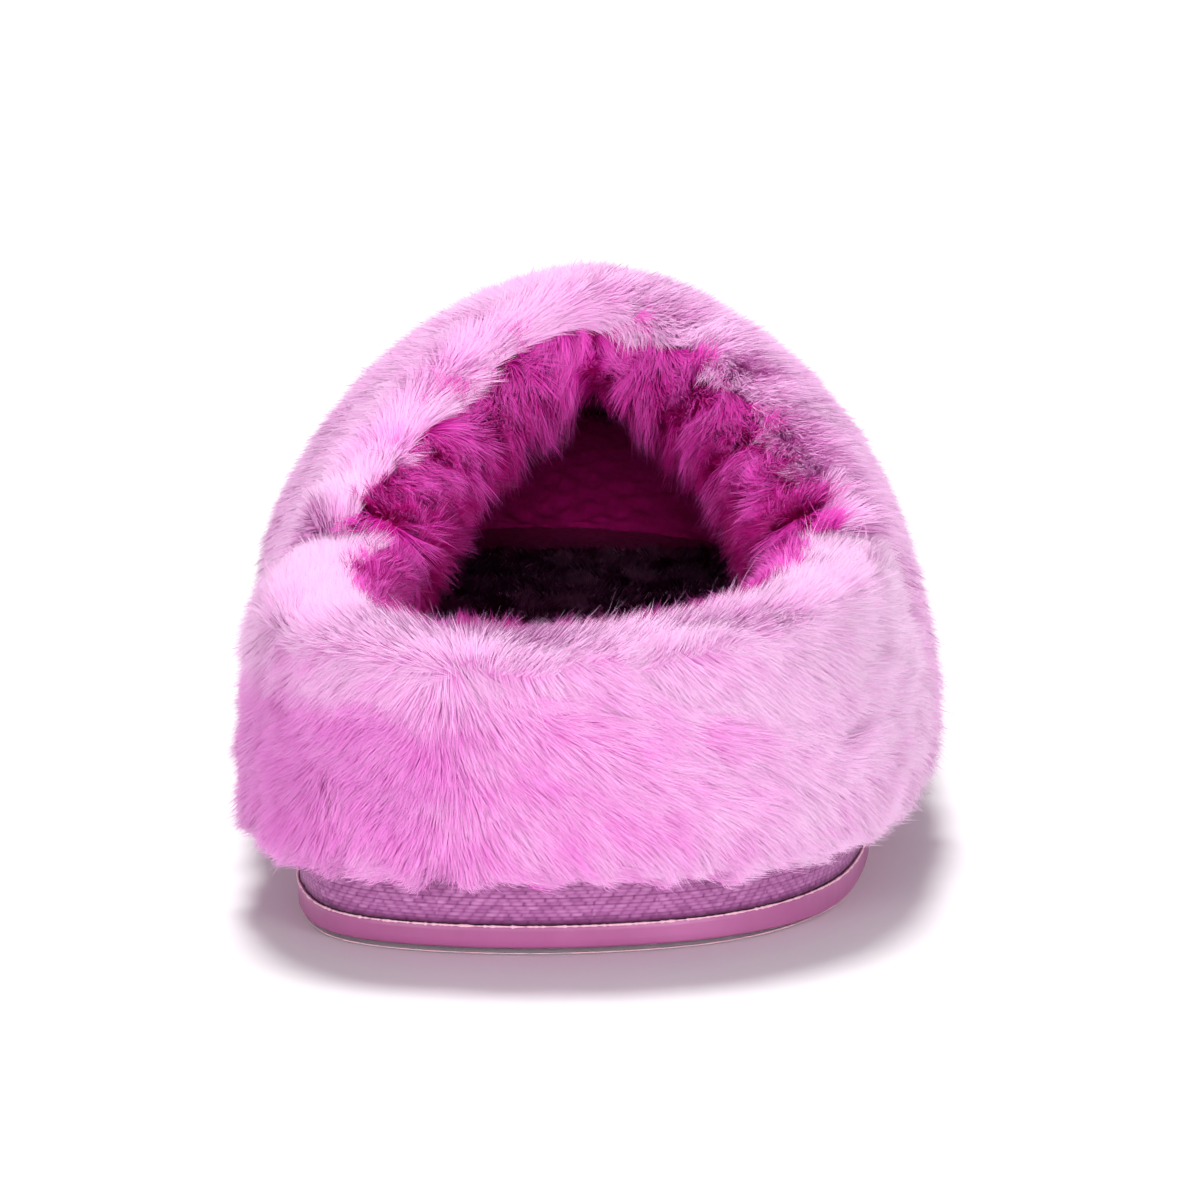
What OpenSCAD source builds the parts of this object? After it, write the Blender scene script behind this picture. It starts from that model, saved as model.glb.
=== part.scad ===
/* [Sole] */
// Length of the outsole, from the back of the heel to the toe.
sole_length = 258; // [240:1:280]
// Width of the outsole across the ball of the foot.
ball_width = 100; // [92:1:108]
// Thickness of the moulded outsole.
outsole_thickness = 4.2; // [3.6:0.2:6]
// Depth of the grooves in the tread.
tread_depth = 1.2; // [0.6:0.2:1.8]
// Distance from one tread groove to the next.
tread_pitch = 12; // [10:1:18]
// Thickness of the foam platform on the outsole.
midsole_thickness = 5; // [4:0.5:8]
// Thickness of the stiff board on the platform.
board_thickness = 1.2; // [1:0.1:2]
// Thickness of the soft foam under the foot.
sock_foam_thickness = 4; // [3:0.5:6]
// Thickness of the plush that the foot stands on.
sock_plush_thickness = 5; // [4:0.5:7]
// Thickness of the woven tape round the platform.
tape_thickness = 0.8; // [0.6:0.1:1.2]

/* [Upper] */
// Distance from the back of the heel to the two side seams.
seam_at = 56; // [50:1:62]
// Distance from the back of the heel to the front of the foot opening.
throat_at = 107; // [100:1:116]
// Height of the vamp fabric at the front of the foot opening.
vamp_height = 72; // [66:1:80]
// Height of the collar at the back of the heel.
heel_height = 43; // [40:1:46]
// Height of the collar at the side seams.
side_height = 47; // [46:1:50]
// Height at which the walls of the upper are widest.
bulge_height = 20; // [19:1:24]
// Thickness of the outer plush on the vamp.
fur_pile = 11; // [8:0.5:13]
// Thickness of the outer plush on the heel, where it lies flatter.
heel_pile = 9.5; // [6:0.5:12]
// Thickness of the plush lining of the vamp.
vamp_lining_pile = 8.5; // [6:0.5:9]
// Thickness of the plush lining of the heel.
heel_lining_pile = 6.5; // [5:0.5:8]
// Thickness of the foam padding in the upper.
padding_thickness = 2; // [1.5:0.5:3]
// Thickness of the heel stiffener.
counter_thickness = 1; // [0.8:0.1:1.4]
// Diameter of the sewing thread.
thread_diameter = 0.8; // [0.6:0.1:1]

/* [Hidden] */

fur_pink = [0.89, 0.65, 0.83];
lining_pink = [0.80, 0.20, 0.62];
tape_lilac = [0.76, 0.50, 0.72];
sole_lilac = [0.72, 0.44, 0.63];
foam_white = [0.93, 0.92, 0.90];
board_brown = [0.72, 0.62, 0.50];
thread_plum = [0.50, 0.14, 0.42];

// Outline of a right foot as shares of the ball width, from the heel along the outer side to
// the toe and back along the inner side, at equal turns of the curve that gives the length.
outline_shares = [-0.06, 0.20, 0.36, 0.43, 0.45, 0.455, 0.47, 0.46, 0.365, 0.17,
                  -0.07, -0.285, -0.40, -0.445, -0.44, -0.405, -0.385, -0.39, -0.385, -0.30];
shares_per_side = 10;
outline_steps = 120;

// Gap that keeps neighbouring pieces from sharing a face.
gap = 0.2;
ground_step = 0.7;
tread_width = 2.4;
tread_margin = 9;
tape_flange = 9;
sole_top = outsole_thickness + gap;
midsole_bottom = sole_top + tape_thickness + gap;
midsole_top = midsole_bottom + midsole_thickness;
board_bottom = midsole_top + gap;
board_top = board_bottom + board_thickness;
tape_top = board_bottom + 0.4;
sock_foam_bottom = board_top + gap;
sock_plush_bottom = sock_foam_bottom + sock_foam_thickness + gap;
platform_inset = tape_thickness + 2 * gap;

// The upper is built in layers, each a distance out from the outline of the sole.
upper_bottom = board_top + thread_diameter + gap;
fur_bottom = outsole_thickness + 2;
fur_base = gap;
vamp_fur_tip = fur_base + fur_pile;
heel_fur_tip = fur_base + heel_pile;
fur_tuck = 2;
vamp_padding_out = -gap;
vamp_padding_in = vamp_padding_out - padding_thickness;
vamp_lining_base = vamp_padding_in - gap;
vamp_lining_tip = vamp_lining_base - vamp_lining_pile;
counter_out = -gap;
counter_in = counter_out - counter_thickness;
heel_padding_out = counter_in - gap;
heel_padding_in = heel_padding_out - padding_thickness;
heel_lining_base = heel_padding_in - gap;
heel_lining_tip = heel_lining_base - heel_lining_pile;
sock_inset = max(-vamp_lining_tip, -heel_lining_tip) + gap;

// Shape of the upper: how square its arch is, how fast it falls to the toe and how the
// opening climbs from the side seams to the throat.
arch_power = 1.12;
crown_power = 1.3;
opening_power = 0.75;
rim_power = 6;
seam_gap = thread_diameter + 4 * gap;
edge_hem = 3;
edge_share = 0.35;
edge_round = 0.09;
column_spread = 1.35;
vamp_columns = 32;
vamp_rows = 14;
heel_columns = 24;
heel_rows = 12;
low_rows = 4;

function blend(a, b, t) = a + (b - a) * t;

// Curve through a closed list of values, t counted in list steps.
function closed_curve(v, t) =
    let (n = len(v),
         k = floor(t) + n,
         f = t - floor(t),
         a = v[(k - 1) % n],
         b = v[k % n],
         c = v[(k + 1) % n],
         d = v[(k + 2) % n])
    b + f * (c - a + f * (2 * a - 5 * b + 4 * c - d + f * (3 * b - 3 * c + d - a))) / 2;

// Point of the sole outline: 0 is the heel, 1 the toe, 0 to 1 the outer side of the foot.
function outline(w) =
    [ball_width * closed_curve(outline_shares, shares_per_side * w),
     sole_length * (1 - cos(180 * w)) / 2];

function outward(w) =
    let (along = outline(w + 0.004) - outline(w - 0.004))
    [along[1], -along[0]] / norm(along);

function edge(w, out) = outline(w) + out * outward(w);

// Turn of the outline curve at a distance from the back of the heel.
function turn_at(distance) = acos(1 - 2 * distance / sole_length) / 180;

seam_turn = turn_at(seam_at);
throat_turn = turn_at(throat_at);
seam_half_gap = seam_gap / 2 / norm(outline(seam_turn + 0.5 / sole_length)
                                    - outline(seam_turn - 0.5 / sole_length)) / sole_length;

function past_throat(turn) = max(0, (turn - throat_turn) / (1 - throat_turn));

// Height of the ridge of the vamp over the turn, for a layer a distance out.
function crown(turn, out) =
    bulge_height
    + (vamp_height - bulge_height) * pow(cos(90 * past_throat(turn)), crown_power)
    + out * sqrt(max(0, 1 - pow(past_throat(turn), 2)));

function reach(level) = pow(max(0, cos(90 * level)), arch_power);
function rise(level) = pow(sin(90 * level), arch_power);
function level_of_rise(share) = asin(pow(share, 1 / arch_power)) / 90;

seam_level = level_of_rise((side_height - bulge_height) / (vamp_height - bulge_height));

// Where the vamp starts at a level of its arch: the seam low down, the throat at the ridge.
function vamp_start(level) =
    level <= seam_level
        ? seam_turn + seam_half_gap
        : turn_at(blend(seam_at, throat_at,
                        pow(sin(90 * (level - seam_level) / (1 - seam_level)), opening_power)));

// Thickness share of a pile that rounds off towards an edge.
function soft(from_edge, round) =
    let (t = min(1, from_edge / round))
    edge_share + (1 - edge_share) * sqrt(1 - pow(1 - t, 2));

// Wall below the widest level: depth runs from 0 at the widest level to 1 at the bottom.
function low_wall(w, out, depth, tuck, bottom) =
    let (p = edge(w, blend(out, tuck, 1 - sqrt(1 - depth * depth))))
    [p[0], p[1], blend(bulge_height, bottom, depth)];

function vamp_arch(turn, side, out, level) =
    let (a = edge(turn, out),
         b = edge(2 - turn, out),
         p = (a + b) / 2 + side * reach(level) * (a - b) / 2)
    [p[0], p[1], blend(bulge_height, crown(turn, out), rise(level))];

function row_level(row, rows) =
    row < low_rows ? row / low_rows - 1 : (row - low_rows) / (rows - low_rows);

function vamp_point(column, row, base, tip, tuck, bottom, hem) =
    let (half = vamp_columns / 2,
         side = column <= half ? 1 : -1,
         share = pow(min(column, vamp_columns - column) / half, column_spread),
         level = row_level(row, vamp_rows),
         turn = blend(vamp_start(level) + hem / sole_length, 1, share),
         out = blend(base, tip, soft(share, edge_round)))
    level < 0
        ? low_wall(side > 0 ? turn : 2 - turn, out, -level, tuck, bottom)
        : vamp_arch(turn, side, out, level);

function vamp_grid(base, tip, tuck, bottom, hem) =
    [for (i = [0:vamp_columns])
        [for (j = [0:vamp_rows]) vamp_point(i, j, base, tip, tuck, bottom, hem)]];

// The rim dips at the back and climbs soon to the height of the side seams.
function rim_height(w) =
    blend(heel_height, side_height, 1 - pow(1 - pow(w / seam_turn, 2), rim_power));

// The heel wall leans in as the arch of the vamp does at the seam, and stands upright at the back.
function heel_point(column, row, base, tip, tuck, bottom, hem) =
    let (share = 2 * column / heel_columns - 1,
         w = share * (seam_turn - seam_half_gap),
         level = row_level(row, heel_rows),
         rounding = min(soft(1 - level, 0.4), soft(1 - abs(share), edge_round)),
         out = blend(base, tip, rounding),
         top = level_of_rise((rim_height(w) - hem - bulge_height)
                             / (vamp_height + out - bulge_height)),
         half = norm(edge(seam_turn, out) - edge(2 - seam_turn, out)) / 2,
         lean = pow(w / seam_turn, 2),
         p = edge(w, out - half * lean * (1 - reach(max(0, level) * top))))
    level < 0
        ? low_wall(w, out, -level, tuck, bottom)
        : [p[0], p[1], blend(bulge_height, vamp_height + out, rise(level * top))];

function heel_grid(base, tip, tuck, bottom, hem) =
    [for (i = [0:heel_columns])
        [for (j = [0:heel_rows]) heel_point(i, j, base, tip, tuck, bottom, hem)]];

function triangles(a, b, c, d) =
    concat(a == b || b == c ? [] : [[c, b, a]],
           a == d || c == d ? [] : [[d, c, a]]);

// Number of a grid point. A folded grid meets itself along its last row and comes to one
// point at the top of its middle column.
function grid_number(i, j, columns, rows, folded) =
    let (middle = columns / 2,
         top = folded && (j == rows || (i == middle && j >= low_rows)),
         column = folded && j == rows ? min(i, columns - i) : i)
    column * (rows + 1) + (top ? rows : j);

// Solid between two point grids of the same size, the first of them on the outside.
module shell(outside, inside, folded) {
    columns = len(outside) - 1;
    rows = len(outside[0]) - 1;
    back = (columns + 1) * (rows + 1);
    skin = [
        for (i = [0:columns - 1])
            for (j = [0:rows - 1])
                let (a = grid_number(i, j, columns, rows, folded),
                     b = grid_number(i + 1, j, columns, rows, folded),
                     c = grid_number(i + 1, j + 1, columns, rows, folded),
                     d = grid_number(i, j + 1, columns, rows, folded))
                each concat(triangles(a, b, c, d),
                            triangles(back + a, back + d, back + c, back + b))
    ];
    across = [
        for (i = [0:columns - 1], j = folded ? [0] : [0, rows])
            let (a = grid_number(i, j, columns, rows, folded),
                 b = grid_number(i + 1, j, columns, rows, folded))
            each j == 0 ? triangles(b, a, back + a, back + b)
                        : triangles(a, b, back + b, back + a)
    ];
    upright = [
        for (i = [0, columns], j = [0:rows - 1])
            let (a = grid_number(i, j, columns, rows, folded),
                 b = grid_number(i, j + 1, columns, rows, folded))
            each i == 0 ? triangles(a, b, back + b, back + a)
                        : triangles(b, a, back + a, back + b)
    ];
    polyhedron([for (grid = [outside, inside]) for (column = grid) each column],
               concat(skin, across, upright), convexity = 8);
}

module vamp_layer(outside, inside) {
    shell(outside, inside, true);
}

module heel_layer(outside, inside) {
    shell(outside, inside, false);
}

// Round thread along a path; square_to is a direction that the path never takes.
module thread(path, square_to, closed) {
    sides = 6;
    last = len(path) - 1;
    rings = [
        for (k = [0:last])
            let (before = path[k > 0 ? k - 1 : closed ? last : 0],
                 after = path[k < last ? k + 1 : closed ? 0 : last],
                 across = cross(after - before, square_to),
                 x = across / norm(across),
                 up = cross(x, after - before),
                 y = up / norm(up))
            [for (s = [0:sides - 1])
                path[k] + thread_diameter / 2 * (x * cos(360 * s / sides) + y * sin(360 * s / sides))]
    ];
    tube = [
        for (k = [0:closed ? last : last - 1], s = [0:sides - 1])
            let (a = k * sides + s,
                 b = k * sides + (s + 1) % sides,
                 step = ((k + 1) % (last + 1)) * sides,
                 c = step + (s + 1) % sides,
                 d = step + s)
            each [[a, b, c], [a, c, d]]
    ];
    ends = closed ? [] : [[for (s = [sides - 1:-1:0]) s], [for (s = [0:sides - 1]) last * sides + s]];
    polyhedron([for (ring = rings) each ring], concat(tube, ends), convexity = 8);
}

fur_points = concat([for (column = vamp_grid(fur_base, vamp_fur_tip, fur_tuck, fur_bottom, 0)) each column],
                    [for (column = heel_grid(fur_base, heel_fur_tip, fur_tuck, fur_bottom, 0)) each column]);
fur_x = [for (p = fur_points) p[0]];
fur_y = [for (p = fur_points) p[1]];
to_origin = [-(min(fur_x) + max(fur_x)) / 2, -(min(fur_y) + max(fur_y)) / 2, 0];

module sole_shape(inset) {
    polygon([for (k = [0:outline_steps - 1]) edge(2 * k / outline_steps, -inset)]);
}

module sole_slab(inset, bottom, top) {
    translate([0, 0, bottom]) linear_extrude(top - bottom) sole_shape(inset);
}

module tread_grooves() {
    grooves = floor((sole_length - 2 * tread_margin) / tread_pitch);
    first = (sole_length - grooves * tread_pitch) / 2;
    intersection() {
        sole_slab(tread_margin, -1, tread_depth);
        for (k = [0:grooves])
            translate([-ball_width, first + k * tread_pitch - tread_width / 2, -1])
                cube([2 * ball_width, tread_width, tread_depth + 1]);
    }
}

module outsole() {
    color(sole_lilac) translate(to_origin) difference() {
        union() {
            sole_slab(ground_step, 0, outsole_thickness);
            sole_slab(0, ground_step, outsole_thickness);
        }
        tread_grooves();
    }
}

module midsole() {
    color(foam_white) translate(to_origin) sole_slab(platform_inset, midsole_bottom, midsole_top);
}

module cover_tape() {
    color(tape_lilac) translate(to_origin) difference() {
        sole_slab(gap, sole_top, tape_top);
        sole_slab(gap + tape_thickness, sole_top + tape_thickness, tape_top + 1);
        sole_slab(gap + tape_flange, sole_top - 1, tape_top);
    }
}

module insole_board() {
    color(board_brown) translate(to_origin) sole_slab(platform_inset, board_bottom, board_top);
}

module sock_foam() {
    color(foam_white) translate(to_origin)
        sole_slab(sock_inset, sock_foam_bottom, sock_foam_bottom + sock_foam_thickness);
}

module sock_plush() {
    color(lining_pink) translate(to_origin)
        sole_slab(sock_inset, sock_plush_bottom, sock_plush_bottom + sock_plush_thickness);
}

module vamp_fur() {
    color(fur_pink) translate(to_origin)
        vamp_layer(vamp_grid(fur_base, vamp_fur_tip, fur_tuck, fur_bottom, 0),
                   vamp_grid(fur_base, fur_base, fur_base, upper_bottom, 0));
}

module vamp_padding() {
    color(foam_white) translate(to_origin)
        vamp_layer(vamp_grid(vamp_padding_out, vamp_padding_out, vamp_padding_out, upper_bottom, edge_hem),
                   vamp_grid(vamp_padding_in, vamp_padding_in, vamp_padding_in, upper_bottom, edge_hem));
}

module vamp_lining_half(side) {
    throat = (edge(throat_turn, 0) + edge(2 - throat_turn, 0)) / 2;
    run = outline(1) - throat;
    intersection() {
        vamp_layer(vamp_grid(vamp_lining_base, vamp_lining_base, vamp_lining_base, upper_bottom, 0),
                   vamp_grid(vamp_lining_base, vamp_lining_tip, vamp_lining_tip, upper_bottom, 0));
        translate([throat[0], throat[1], 0]) rotate(atan2(run[1], run[0]) - 90)
            translate([side * (seam_gap + sole_length) / 2 - sole_length / 2, -sole_length / 2, 0])
                cube(sole_length);
    }
}

module vamp_lining_outer() {
    color(lining_pink) translate(to_origin) vamp_lining_half(1);
}

module vamp_lining_inner() {
    color(lining_pink) translate(to_origin) vamp_lining_half(-1);
}

module heel_fur() {
    color(fur_pink) translate(to_origin)
        heel_layer(heel_grid(fur_base, heel_fur_tip, fur_tuck, fur_bottom, 0),
                   heel_grid(fur_base, fur_base, fur_base, upper_bottom, 0));
}

module heel_counter() {
    color(board_brown) translate(to_origin)
        heel_layer(heel_grid(counter_out, counter_out, counter_out, upper_bottom, 2 * edge_hem),
                   heel_grid(counter_in, counter_in, counter_in, upper_bottom, 2 * edge_hem));
}

module heel_padding() {
    color(foam_white) translate(to_origin)
        heel_layer(heel_grid(heel_padding_out, heel_padding_out, heel_padding_out, upper_bottom, edge_hem),
                   heel_grid(heel_padding_in, heel_padding_in, heel_padding_in, upper_bottom, edge_hem));
}

module heel_lining() {
    color(lining_pink) translate(to_origin)
        heel_layer(heel_grid(heel_lining_base, heel_lining_base, heel_lining_base, upper_bottom, 0),
                   heel_grid(heel_lining_base, heel_lining_tip, heel_lining_tip, upper_bottom, 0));
}

// Seam of the outer fur between the vamp and the heel, up from the sole.
module side_seam(w) {
    top = seam_level * 0.9;
    thread([for (level = [-1:0.25:0]) low_wall(w, fur_base, -level, fur_base, upper_bottom),
            for (k = [1:6]) vamp_arch(seam_turn, w < 1 ? 1 : -1, fur_base, top * k / 6)],
           [0, 1, 0], false);
}

module side_seam_outer() {
    color(thread_plum) translate(to_origin) side_seam(seam_turn);
}

module side_seam_inner() {
    color(thread_plum) translate(to_origin) side_seam(2 - seam_turn);
}

module lining_seam() {
    out = (vamp_lining_base + vamp_lining_tip) / 2;
    color(thread_plum) translate(to_origin)
        thread([for (k = [1:16]) vamp_arch(blend(throat_turn, 1, 0.05 + 0.9 * k / 16), 1, out, 1)],
               [1, 0, 0], false);
}

module vamp_topline_stitch() {
    out = (fur_base + vamp_lining_base) / 2;
    levels = [for (k = [1:12]) blend(seam_level, 1, k / 12)];
    start = edge_hem / 2 / sole_length;
    color(thread_plum) translate(to_origin)
        thread(concat([for (level = levels) vamp_arch(vamp_start(level) + start, 1, out, level)],
                      [for (k = [len(levels) - 2:-1:0])
                          vamp_arch(vamp_start(levels[k]) + start, -1, out, levels[k])]),
               [0, 1, -1], false);
}

module heel_topline_stitch() {
    out = (fur_base + heel_lining_base) / 2;
    inner = heel_grid(out, out, out, upper_bottom, edge_hem / 2);
    color(thread_plum) translate(to_origin)
        thread([for (k = [1:heel_columns - 1]) inner[k][heel_rows]], [0, 0, 1], false);
}

module lasting_stitch() {
    height = board_top + gap + thread_diameter / 2 - gap / 2;
    color(thread_plum) translate(to_origin)
        thread([for (k = [0:outline_steps - 1])
                   let (p = edge(2 * k / outline_steps, -thread_diameter)) [p[0], p[1], height]],
               [0, 0, 1], true);
}

outsole();
midsole();
cover_tape();
insole_board();
sock_foam();
sock_plush();
vamp_fur();
vamp_padding();
vamp_lining_outer();
vamp_lining_inner();
heel_fur();
heel_counter();
heel_padding();
heel_lining();
side_seam_outer();
side_seam_inner();
lining_seam();
vamp_topline_stitch();
heel_topline_stitch();
lasting_stitch();
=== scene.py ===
import math

import bpy
import numpy as np
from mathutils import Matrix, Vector, kdtree


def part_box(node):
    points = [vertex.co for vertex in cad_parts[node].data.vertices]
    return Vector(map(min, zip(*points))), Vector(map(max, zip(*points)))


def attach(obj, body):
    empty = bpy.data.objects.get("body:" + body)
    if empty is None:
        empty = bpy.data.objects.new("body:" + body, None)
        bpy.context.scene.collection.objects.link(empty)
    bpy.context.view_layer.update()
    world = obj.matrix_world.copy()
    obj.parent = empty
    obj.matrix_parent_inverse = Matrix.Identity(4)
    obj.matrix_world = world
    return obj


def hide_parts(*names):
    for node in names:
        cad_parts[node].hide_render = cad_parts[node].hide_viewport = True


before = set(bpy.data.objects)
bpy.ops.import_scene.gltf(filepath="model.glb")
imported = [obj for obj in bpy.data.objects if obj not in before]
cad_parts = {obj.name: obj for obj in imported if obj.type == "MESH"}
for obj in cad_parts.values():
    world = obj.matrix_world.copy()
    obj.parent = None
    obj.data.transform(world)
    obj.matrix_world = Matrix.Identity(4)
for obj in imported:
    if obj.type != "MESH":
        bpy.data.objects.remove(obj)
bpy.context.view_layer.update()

MM = 0.001

# Shape of the upper, as in the CAD model: millimetres and shares.
OUTLINE_SHARES = np.array([
    -0.06, 0.20, 0.36, 0.43, 0.45, 0.455, 0.47, 0.46, 0.365, 0.17,
    -0.07, -0.285, -0.40, -0.445, -0.44, -0.405, -0.385, -0.39, -0.385, -0.30])
SHARES_PER_SIDE = 10
SOLE_LENGTH = 258.0
BALL_WIDTH = 100.0
SEAM_AT = 56.0
THROAT_AT = 107.0
VAMP_HEIGHT = 72.0
HEEL_HEIGHT = 43.0
SIDE_HEIGHT = 47.0
BULGE_HEIGHT = 20.0
ARCH_POWER = 1.12
CROWN_POWER = 1.3
OPENING_POWER = 0.75
RIM_POWER = 6
FUR_BASE = 0.2
VAMP_PADDING = (-0.2, -2.2)
VAMP_LINING = (-2.4, -10.9)
HEEL_COUNTER = (-0.2, -1.2)
HEEL_PADDING = (-1.4, -3.4)
HEEL_LINING = (-3.6, -10.1)
OUTSOLE_TOP = 4.2
TAPE_TOP = 10.8
UPPER_BOTTOM = 12.4
SOCK_BOTTOM = 15.8
FOAM_TOP = 18.0
SOCK_TOP = 20.8
SOCK_INSET = 11.1
SEAM_HALF_GAP = 0.8


# ---------------------------------------------------------------- surfaces

def closed_curve(values, t):
    """Catmull-Rom curve through a closed list, t counted in list steps."""
    k = np.floor(t).astype(int)
    f = t - k
    n = len(values)
    a, b, c, d = (values[(k + s) % n] for s in (-1, 0, 1, 2))
    return b + f * (c - a + f * (2 * a - 5 * b + 4 * c - d + f * (3 * b - 3 * c + d - a))) / 2


def outline(w):
    """Sole outline in millimetres: 0 is the heel, 1 the toe, 0 to 1 the outer side."""
    w = np.asarray(w, float)
    return np.stack([
        BALL_WIDTH * closed_curve(OUTLINE_SHARES, SHARES_PER_SIDE * w),
        SOLE_LENGTH * (1 - np.cos(np.pi * w)) / 2], axis=-1)


def along_outline(w):
    step = outline(np.asarray(w) + 0.004) - outline(np.asarray(w) - 0.004)
    return step / np.linalg.norm(step, axis=-1, keepdims=True)


def edge(w, out):
    t = along_outline(w)
    normal = np.stack([t[..., 1], -t[..., 0]], axis=-1)
    return outline(w) + normal * np.asarray(out, float)[..., None]


def turn_at(distance):
    return np.arccos(1 - 2 * np.asarray(distance, float) / SOLE_LENGTH) / np.pi


SEAM_TURN = float(turn_at(SEAM_AT))
THROAT_TURN = float(turn_at(THROAT_AT))
SEAM_TURN_GAP = float(turn_at(SEAM_AT + SEAM_HALF_GAP)) - SEAM_TURN


def crown(turn, out):
    past = np.clip((turn - THROAT_TURN) / (1 - THROAT_TURN), 0, 1)
    fall = np.maximum(np.cos(np.pi / 2 * past), 0) ** CROWN_POWER
    return BULGE_HEIGHT + (VAMP_HEIGHT - BULGE_HEIGHT) * fall + out * np.sqrt(1 - past ** 2)


def reach(level):
    return np.maximum(np.cos(np.pi / 2 * level), 0) ** ARCH_POWER


def rise(level):
    return np.maximum(np.sin(np.pi / 2 * level), 0) ** ARCH_POWER


def level_of_rise(share):
    return np.arcsin(np.clip(share, 0, 1) ** (1 / ARCH_POWER)) * 2 / np.pi


SEAM_LEVEL = float(level_of_rise((SIDE_HEIGHT - BULGE_HEIGHT) / (VAMP_HEIGHT - BULGE_HEIGHT)))


def vamp_start(level):
    climb = np.clip((level - SEAM_LEVEL) / (1 - SEAM_LEVEL), 0, 1)
    opening = turn_at(SEAM_AT + (THROAT_AT - SEAM_AT) * np.sin(np.pi / 2 * climb) ** OPENING_POWER)
    return np.where(level <= SEAM_LEVEL, SEAM_TURN, opening) + SEAM_TURN_GAP


def low_wall(w, out, depth, tuck, bottom):
    p = edge(w, out + (tuck - out) * (1 - np.sqrt(np.clip(1 - depth ** 2, 0, 1))))
    return np.concatenate([p, (BULGE_HEIGHT + (bottom - BULGE_HEIGHT) * depth)[..., None]], axis=-1)


def vamp_surface(share, level, out, tuck, bottom, hem=0.0):
    """Points of a vamp layer. share runs 0 to 1 from the outer seam round the toe to the inner
    seam, level -1 to 1 from the sole to the ridge."""
    share, level, out = np.broadcast_arrays(share, level, np.asarray(out, float))
    outer = share <= 0.5
    near = 2 * np.where(outer, share, 1 - share)
    start = vamp_start(level) + hem / SOLE_LENGTH
    turn = start + (1 - start) * near
    a, b = edge(turn, out), edge(2 - turn, out)
    side = np.where(outer, 1, -1)[..., None]
    flat = (a + b) / 2 + side * reach(level)[..., None] * (a - b) / 2
    height = BULGE_HEIGHT + (crown(turn, out) - BULGE_HEIGHT) * rise(level)
    arch = np.concatenate([flat, height[..., None]], axis=-1)
    wall = low_wall(np.where(outer, turn, 2 - turn), out, np.clip(-level, 0, 1), tuck, bottom)
    return np.where((level < 0)[..., None], wall, arch)


def heel_surface(share, level, out, tuck, bottom, hem=0.0):
    """Points of a heel layer. share runs 0 to 1 from the inner seam round the back to the outer
    seam, level -1 to 1 from the sole to the rim."""
    share, level, out = np.broadcast_arrays(share, level, np.asarray(out, float))
    w = (2 * share - 1) * (SEAM_TURN - SEAM_TURN_GAP)
    lean = (w / SEAM_TURN) ** 2
    rim = HEEL_HEIGHT + (SIDE_HEIGHT - HEEL_HEIGHT) * (1 - (1 - lean) ** RIM_POWER)
    top = level_of_rise((rim - hem - BULGE_HEIGHT) / (VAMP_HEIGHT + out - BULGE_HEIGHT))
    seam = np.full_like(w, SEAM_TURN)
    half = np.linalg.norm(edge(seam, out) - edge(2 - seam, out), axis=-1) / 2
    up = np.clip(level, 0, 1) * top
    flat = edge(w, out - half * lean * (1 - reach(up)))
    height = BULGE_HEIGHT + (VAMP_HEIGHT + out - BULGE_HEIGHT) * rise(up)
    wall = low_wall(w, out, np.clip(-level, 0, 1), tuck, bottom)
    return np.where((level < 0)[..., None], wall, np.concatenate([flat, height[..., None]], axis=-1))


def sole_points(w, out, height):
    p = edge(w, out)
    return np.concatenate([p, np.broadcast_to(height, p.shape[:-1])[..., None]], axis=-1)


# The outline starts at the back of the outsole, and its widest point is the outsole's side.
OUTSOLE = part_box("outsole")
FINE = outline(np.linspace(0, 2, 2001))
SHIFT = np.array([OUTSOLE[0][0] - FINE[:, 0].min() * MM, OUTSOLE[0][1] - FINE[:, 1].min() * MM, 0.0])


def placed(points_mm):
    """From millimetres on the last to metres in the model's frame."""
    return points_mm * MM + SHIFT


# ---------------------------------------------------------------- meshes

def new_object(name, vertices, faces_of_three=None, faces_of_four=None, smooth=True):
    """Mesh object from arrays of vertices, triangles and quads."""
    parts = [f for f in (faces_of_three, faces_of_four) if f is not None and len(f)]
    corners = np.concatenate([p.ravel() for p in parts]).astype(np.int32)
    sizes = np.concatenate([np.full(len(p), p.shape[1]) for p in parts]).astype(np.int32)
    starts = np.concatenate([[0], np.cumsum(sizes)[:-1]]).astype(np.int32)
    mesh = bpy.data.meshes.new(name)
    mesh.vertices.add(len(vertices))
    mesh.vertices.foreach_set("co", np.ascontiguousarray(vertices, dtype=np.float32).ravel())
    mesh.loops.add(len(corners))
    mesh.loops.foreach_set("vertex_index", corners)
    mesh.polygons.add(len(sizes))
    mesh.polygons.foreach_set("loop_start", starts)
    mesh.polygons.foreach_set("use_smooth", np.full(len(sizes), smooth))
    mesh.update(calc_edges=True)
    piece = bpy.data.objects.new(name, mesh)
    bpy.context.scene.collection.objects.link(piece)
    return piece, mesh


def corner_values(mesh, vertex_values):
    corners = np.empty(len(mesh.loops), dtype=np.int32)
    mesh.loops.foreach_get("vertex_index", corners)
    return vertex_values[corners]


def add_uv(mesh, name, vertex_uv):
    layer = mesh.uv_layers.new(name=name)
    layer.data.foreach_set("uv", corner_values(mesh, vertex_uv).astype(np.float32).ravel())


def finish_piece(piece, material, slot, *nodes):
    piece.data.materials.append(material)
    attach(piece, "root")
    if nodes:
        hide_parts(*nodes)
    return piece


def grid_quads(columns, rows):
    i, j = (x.ravel() for x in np.meshgrid(np.arange(columns - 1), np.arange(rows - 1), indexing="ij"))
    corner = i * rows + j
    return np.stack([corner, corner + rows, corner + rows + 1, corner + 1], axis=1)


WELD_DISTANCE = 2e-6


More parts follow.
